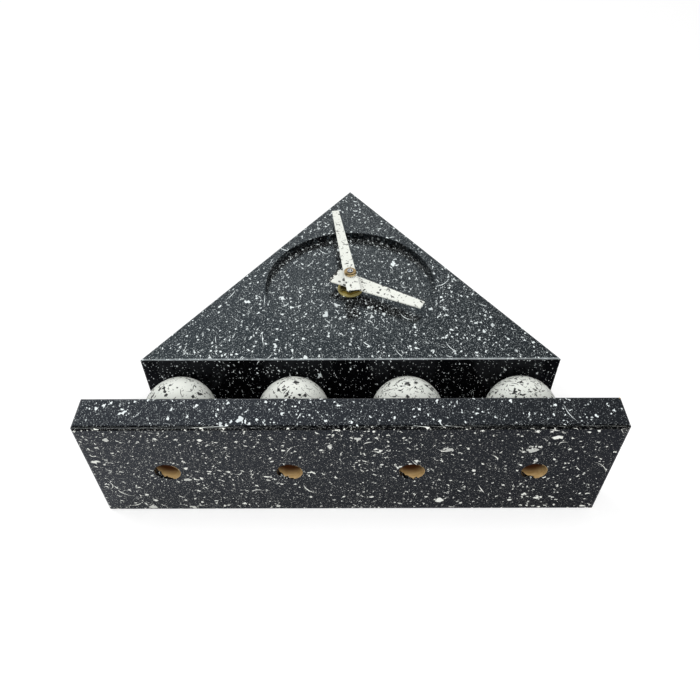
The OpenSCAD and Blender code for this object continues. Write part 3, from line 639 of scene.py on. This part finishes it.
def dress_movement():
    steel = drawn_metal("drawn_steel", DRAWN_STEEL, 0.3)
    dress(steel, "assembly_screws", "positive_contact", "negative_contact", "quartz_crystal")
    dress(drawn_metal("soft_iron", SOFT_IRON, 0.36), "stator", "coil_core")
    dress(plastic("case_plastic", (0.018, 0.018, 0.019), 0.46), "movement_case", "movement_cover")
    dress(plastic("knob_plastic", (0.030, 0.030, 0.032), 0.40), "setting_knob")
    wheels = ["hour", "motion", "centre", "third", "second", "intermediate"]
    wheel_plastic = plastic("wheel_plastic", (0.78, 0.77, 0.72), 0.42, 0.006 * MM)
    dress(wheel_plastic, *[f"{wheel}_wheel" for wheel in wheels])
    dress(plastic("bridge_plastic", (0.55, 0.55, 0.53), 0.45), "gear_bridge", "coil_bobbin")
    dress(plastic("gasket_rubber", (0.012, 0.012, 0.012), 0.75, 0.03 * MM), "rubber_gasket")
    dress(plastic("rotor_ferrite", (0.045, 0.045, 0.050), 0.5, 0.02 * MM), "rotor")
    dress(plastic("chip_resin", (0.012, 0.012, 0.013), 0.35), "control_chip")
    dress(winding_material(), "coil_winding")
    dress(laminate_material(), "circuit_board")
    dress(cell_material(), "battery")


def stage_material(name):
    """White with the clock's shadow to the camera, clear from behind, and a plain grey in reflections.

    The white glows a little more towards its top. The grey carries painted light and shade: darker to the
    right, and nearly black low down and, as a painted shadow of the clock, in the gap behind the balls.
    """
    g = Graph(name)
    x, _, z = g.parts(g.place)
    lit = g.node("BsdfDiffuse", {"Color": STAGE_GREY})
    lift = g.linear(z, 350 * MM, 800 * MM, 0.527, 0.57)
    glow = g.node("Emission", {"Color": WHITE, "Strength": lift})
    white = g.node("AddShader", {0: lit.outputs[0], 1: glow.outputs[0]})
    # Painted light and shade for reflections: the grey is lit on the left and shaded on the right
    grey = g.mix(g.linear(x, -120 * MM, 120 * MM), STAGE_LIT_LEFT, STAGE_SHADED_RIGHT)
    # Painted shade low down, towards the camera's side
    shade_low_down = g.smooth(z, -75 * MM, -110 * MM)
    # Painted shadow of the clock on the backdrop, in the gap behind the balls
    beside = g.smooth(g.math("ABSOLUTE", x), 125 * MM, 95 * MM)
    above_board = g.smooth(z, 5 * MM, 22 * MM)
    below_pediment = g.smooth(z, 75 * MM, 60 * MM)
    clock_shadow_in_gap = g.product(beside, above_board, below_pediment)
    grey = g.mix(g.largest(shade_low_down, clock_shadow_in_gap), grey, STAGE_PAINTED_SHADOW)
    plain = g.node("BsdfDiffuse", {"Color": grey})
    seen = g.node("LightPath").outputs["Is Camera Ray"]
    front = g.node("MixShader", {0: seen, 1: plain.outputs[0], 2: white.outputs[0]})
    behind = g.node("NewGeometry").outputs["Backfacing"]
    clear = g.node("BsdfTransparent")
    g.surface(g.node("MixShader", {0: behind, 1: front.outputs[0], 2: clear.outputs[0]}))
    return g.material


def make_plane(name, corners, mirrored):
    """A stage plane that is seen from its front only, and casts no shadow or light on the clock."""
    mesh = bpy.data.meshes.new(name)
    mesh.from_pydata(corners, [], [(0, 1, 2, 3)])
    mesh.materials.append(stage_material(name))
    plane = bpy.data.objects.new(name, mesh)
    bpy.context.scene.collection.objects.link(plane)
    plane.visible_shadow = False
    plane.visible_diffuse = False
    plane.visible_glossy = mirrored
    plane.visible_transmission = False


def make_stage():
    """A backdrop just behind the clock and a floor just under it. Only the backdrop is mirrored."""
    low, high = -STAGE_REACH, STAGE_REACH
    square = [(low, low), (high, low), (high, high), (low, high)]
    back_y = BOARD_HIGH.y + STAGE_GAP
    floor_z = BOARD_LOW.z - STAGE_GAP
    make_plane("backdrop", [(x, back_y, z) for x, z in square], True)
    make_plane("floor", [(x, y, floor_z) for x, y in square], False)


def make_world():
    """White to the camera, half as bright as light, and shaded in reflections.

    The mirrored world is dark on the camera's side, and dimmer to the right and below its top.
    """
    world = bpy.data.worlds.new("studio")
    world.use_nodes = True
    w = Nodes(world.node_tree)
    path = w.node("LightPath").outputs
    heading = w.node("TexCoord").outputs["Generated"]
    rightward, _, upward = w.parts(heading)
    towards_camera = w.vector("DOT_PRODUCT", heading, tuple(-CAMERA_AIM))
    from_camera = w.smooth(towards_camera, 0.15, 0.42, 1.0, 0.1)
    from_right = w.linear(rightward, -0.2, 0.4, 1.0, 0.42)
    from_top = w.linear(upward, 0.6, 0.8, 0.82, 1.0)
    mirrored = w.product(from_camera, from_right, from_top, path["Is Glossy Ray"])
    light = w.product(path["Is Diffuse Ray"], 0.5)
    strength = w.largest(path["Is Camera Ray"], path["Is Transmission Ray"], light, mirrored)
    background = w.tree.nodes["Background"]
    w.feed(background.inputs["Color"], WHITE)
    w.feed(background.inputs["Strength"], strength)
    bpy.context.scene.world = world


def make_lamp(name, place, diameter, watts):
    """A round soft lamp that lights the clock without being mirrored in it."""
    data = bpy.data.lights.new(name, "AREA")
    data.shape = "DISK"
    data.size = diameter
    data.energy = watts
    lamp = bpy.data.objects.new(name, data)
    lamp.location = place
    lamp.rotation_euler = (LAMP_AIM - place).to_track_quat("-Z", "Y").to_euler()
    lamp.visible_glossy = False
    bpy.context.scene.collection.objects.link(lamp)


def make_camera():
    data = bpy.data.cameras.new("camera")
    data.sensor_width = SENSOR
    data.lens = LENS
    data.clip_start = NEAREST
    camera = bpy.data.objects.new("camera", data)
    camera.location = CAMERA_AT
    camera.rotation_euler = CAMERA_AIM.to_track_quat("-Z", "Y").to_euler()
    bpy.context.scene.collection.objects.link(camera)
    bpy.context.scene.camera = camera


bpy.context.scene.view_settings.view_transform = "Standard"
make_camera()
make_world()
make_stage()
for lamp_name, (lamp_at, lamp_diameter, lamp_watts) in LAMPS.items():
    make_lamp(lamp_name, lamp_at, lamp_diameter, lamp_watts)
dress_wood_and_hands()
dress_shaft()
dress_movement()
